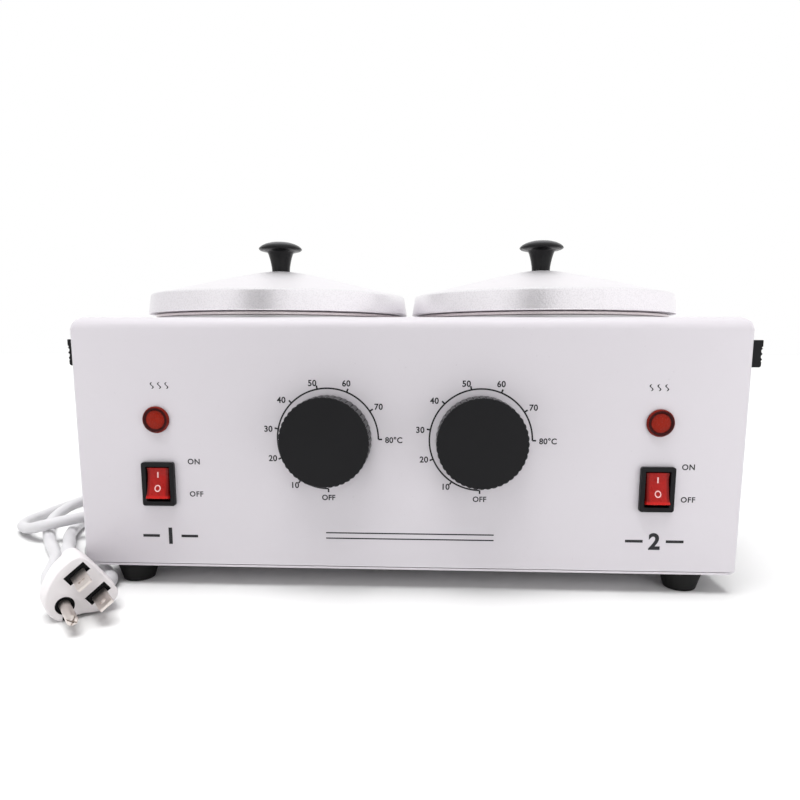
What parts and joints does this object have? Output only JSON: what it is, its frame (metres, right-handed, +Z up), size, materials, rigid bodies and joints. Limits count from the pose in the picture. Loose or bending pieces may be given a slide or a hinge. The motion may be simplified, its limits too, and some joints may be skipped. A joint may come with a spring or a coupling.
{
  "type": "double wax warmer",
  "caption": "Free-standing depilatory wax warmer with side-by-side heated wells, lift-out pots with lids, thermostat dials, rocker switches, end handles and a mains lead.",
  "frame": {"origin": "on the surface the feet stand on, in the middle of the housing's width and of the depth from the dials' faces to the rear screws' heads", "axes": "+Z up, +X to the right seen from the front, and the front panel faces -Y"},
  "size_m": [0.4195, 0.2981, 0.1707],
  "materials": {
    "white_paint": "white powder coat, slightly lilac, satin",
    "black_rubber": "black moulded rubber",
    "black_plastic": "black moulded phenolic, low gloss",
    "spun_aluminium": "spun aluminium, brushed round its axis",
    "dull_aluminium": "plain drawn aluminium",
    "heater_mica": "mica-wrapped heating band",
    "red_plastic": "red translucent moulding with white marks",
    "red_lens": "red translucent lens",
    "zinc_steel": "zinc-plated steel",
    "nickel": "nickel-plated brass",
    "copper": "copper tube",
    "cream_plastic": "cream ceramic-filled moulding",
    "white_vinyl": "white flexible vinyl"
  },
  "bodies": {
    "housing": {"housing_shell": "white_paint", "base_tray": "white_paint", "foot_front_left": "black_rubber", "foot_front_right": "black_rubber", "foot_rear_left": "black_rubber", "foot_rear_right": "black_rubber", "foot_screw_front_left": "zinc_steel", "foot_screw_front_right": "zinc_steel", "foot_screw_rear_left": "zinc_steel", "foot_screw_rear_right": "zinc_steel", "left_handle": "black_plastic", "right_handle": "black_plastic", "handle_screw_front_left": "zinc_steel", "handle_screw_front_right": "zinc_steel", "handle_screw_rear_left": "zinc_steel", "handle_screw_rear_right": "zinc_steel", "left_heating_well": "dull_aluminium", "right_heating_well": "dull_aluminium", "left_heater_band": "heater_mica", "right_heater_band": "heater_mica", "left_thermostat_body": "cream_plastic", "right_thermostat_body": "cream_plastic", "thermostat_screw_inner_left": "zinc_steel", "thermostat_screw_inner_right": "zinc_steel", "thermostat_screw_outer_left": "zinc_steel", "thermostat_screw_outer_right": "zinc_steel", "left_sensing_bulb": "copper", "right_sensing_bulb": "copper", "left_switch_frame": "black_plastic", "right_switch_frame": "black_plastic", "left_lamp_lens": "red_lens", "right_lamp_lens": "red_lens", "left_lamp_body": "black_plastic", "right_lamp_body": "black_plastic", "terminal_block": "cream_plastic", "cord_strain_relief": "white_vinyl", "base_screw_left": "zinc_steel", "base_screw_right": "zinc_steel", "power_cord_coil": "white_vinyl", "power_cord": "white_vinyl", "plug_body": "white_vinyl", "plug_blade_left": "nickel", "plug_blade_right": "nickel", "plug_ground_pin": "nickel"},
    "left_dial": {"left_dial": "black_plastic", "left_thermostat_spindle": "zinc_steel"},
    "right_dial": {"right_dial": "black_plastic", "right_thermostat_spindle": "zinc_steel"},
    "left_rocker": {"left_rocker": "red_plastic"},
    "right_rocker": {"right_rocker": "red_plastic"},
    "left_pot": {"left_wax_pot": "spun_aluminium"},
    "right_pot": {"right_wax_pot": "spun_aluminium"},
    "left_lid": {"left_lid": "spun_aluminium", "left_lid_knob": "black_plastic", "left_lid_screw": "zinc_steel"},
    "right_lid": {"right_lid": "spun_aluminium", "right_lid_knob": "black_plastic", "right_lid_screw": "zinc_steel"}
  },
  "joints": [
    {"name": "left_dial_turn", "type": "hinge", "parent": "housing", "child": "left_dial", "pos_m": [-0.0348, -0.0713, 0.0714], "axis": [0, 1, 0], "range_deg": [0, 270]},
    {"name": "right_dial_turn", "type": "hinge", "parent": "housing", "child": "right_dial", "pos_m": [0.0348, -0.0713, 0.0714], "axis": [0, 1, 0], "range_deg": [0, 270]},
    {"name": "left_rocker_tilt", "type": "hinge", "parent": "housing", "child": "left_rocker", "pos_m": [-0.1142, -0.0711, 0.0498], "axis": [1, 0, 0], "range_deg": [0, 24]},
    {"name": "right_rocker_tilt", "type": "hinge", "parent": "housing", "child": "right_rocker", "pos_m": [0.1142, -0.0711, 0.0498], "axis": [1, 0, 0], "range_deg": [0, 24]},
    {"name": "left_pot_lift", "type": "slide", "parent": "housing", "child": "left_pot", "axis": [0, 0, 1], "range_m": [0, 0.085]},
    {"name": "left_lid_lift", "type": "slide", "parent": "left_pot", "child": "left_lid", "axis": [0, 0, 1], "range_m": [0, 0.06]},
    {"name": "right_pot_lift", "type": "slide", "parent": "housing", "child": "right_pot", "axis": [0, 0, 1], "range_m": [0, 0.085]},
    {"name": "right_lid_lift", "type": "slide", "parent": "right_pot", "child": "right_lid", "axis": [0, 0, 1], "range_m": [0, 0.06]}
  ]
}
